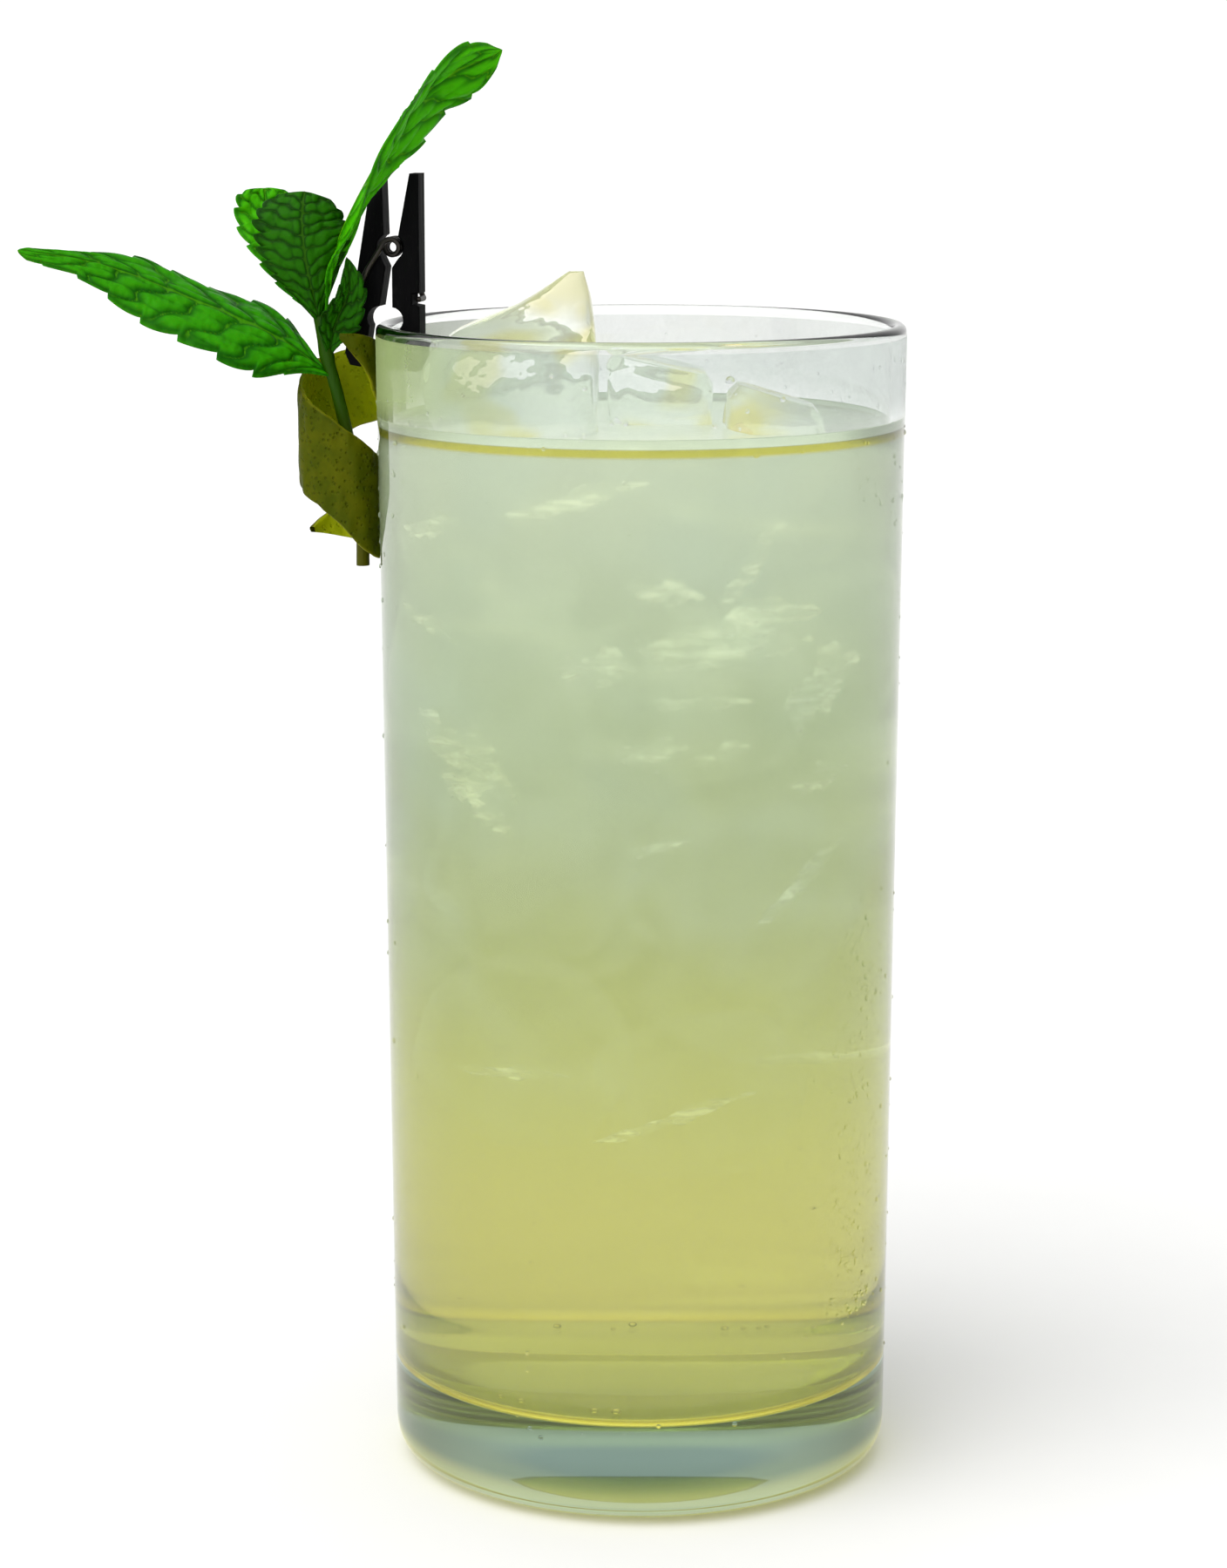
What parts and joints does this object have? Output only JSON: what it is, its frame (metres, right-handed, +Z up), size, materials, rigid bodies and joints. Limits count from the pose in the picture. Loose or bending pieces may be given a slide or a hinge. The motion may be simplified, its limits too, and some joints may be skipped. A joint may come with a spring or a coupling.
{
  "type": "lime soda in a highball glass",
  "caption": "Cloudy iced lime soda in a straight clear highball glass, with a black peg on the rim holding a lime peel twist and a mint sprig.",
  "frame": {"origin": "centre of the glass's foot, on the surface it stands on", "axes": "+Z up along the glass's axis, +Y away from the viewer, +X to the viewer's right; the garnish is on the -X side"},
  "size_m": [0.1122, 0.067, 0.1827],
  "materials": {
    "clear_glass": "clear polished glass with a faint green edge",
    "cloudy_lime": "cloudy pale lime liquid, yellower towards the bottom",
    "ice": "clear melting ice with cracks",
    "black_wood": "black paint, satin",
    "dark_wire": "dark spring wire",
    "lime_zest": "pitted olive to yellow-green lime zest",
    "mint_green": "fresh quilted mint leaf"
  },
  "bodies": {
    "glass": {"glass": "clear_glass", "drink": "cloudy_lime", "ice_peak": "ice", "ice_slab": "ice", "ice_chip": "ice", "peg_arm_outer": "black_wood", "peg_spring": "dark_wire", "lime_peel": "lime_zest", "mint_sprig": "mint_green"},
    "peg_inner": {"peg_arm_inner": "black_wood"}
  },
  "joints": [
    {"name": "peg_hinge", "type": "hinge", "parent": "glass", "child": "peg_inner", "pos_m": [-0.03159, 0.00672, 0.1571], "axis": [-0.2079, -0.9781, 0], "range_deg": [0, 12], "stiffness_Nm_per_rad": 0.06, "springref_deg": -20.05, "deforming": ["peg_spring"]}
  ]
}
